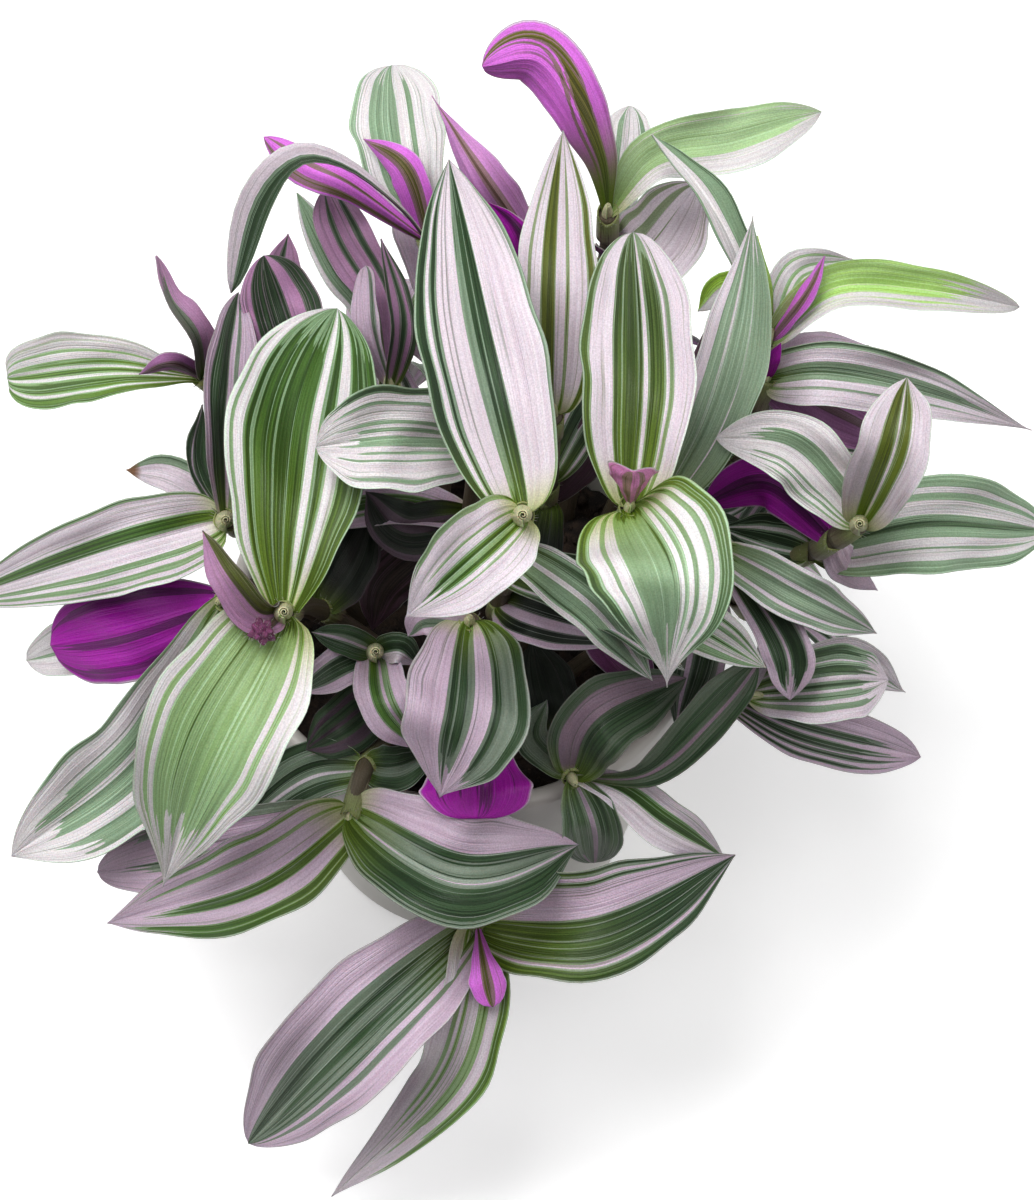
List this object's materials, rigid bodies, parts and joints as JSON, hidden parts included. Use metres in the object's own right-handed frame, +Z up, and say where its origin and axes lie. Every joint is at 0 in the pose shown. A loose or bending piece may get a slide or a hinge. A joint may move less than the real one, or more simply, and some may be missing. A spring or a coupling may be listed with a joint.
{
  "type": "potted tradescantia",
  "caption": "Trailing house plant with pointed, striped pink, white and green leaves on jointed stems, rooted in soil in a plain round pot.",
  "frame": {"origin": "centre of the pot's underside, on the table", "axes": "+Z up, -Y towards the viewer of the picture, +X to that viewer's right"},
  "size_m": [0.2745, 0.2467, 0.214],
  "materials": {
    "pot": "plain off-white, smooth satin",
    "soil": "dark crumbly potting soil",
    "leaf": "satin leaf, striped green, white and pink, with purple undersides"
  },
  "bodies": {
    "root": {"pot": "pot", "soil": "soil", "shoot_crown": "leaf", "shoot_crown_right": "leaf", "shoot_left": "leaf", "shoot_left_low": "leaf", "shoot_left_mid": "leaf", "shoot_far_left": "leaf", "shoot_upper_left": "leaf", "shoot_top_left": "leaf", "shoot_top": "leaf", "shoot_inner_upper": "leaf", "shoot_upper_centre": "leaf", "shoot_tall": "leaf", "shoot_right_upper": "leaf", "shoot_right_top": "leaf", "shoot_right": "leaf", "shoot_far_right": "leaf", "shoot_right_mid": "leaf", "shoot_right_low": "leaf", "shoot_front_right": "leaf", "shoot_centre": "leaf", "shoot_front": "leaf", "shoot_inner_left": "leaf", "shoot_bottom_left": "leaf", "shoot_bottom": "leaf", "shoot_rear_1": "leaf", "shoot_rear_2": "leaf", "shoot_rear_3": "leaf", "shoot_rear_4": "leaf", "shoot_rear_5": "leaf", "shoot_rear_6": "leaf", "shoot_rear_7": "leaf", "shoot_rear_8": "leaf"}
  },
  "joints": []
}
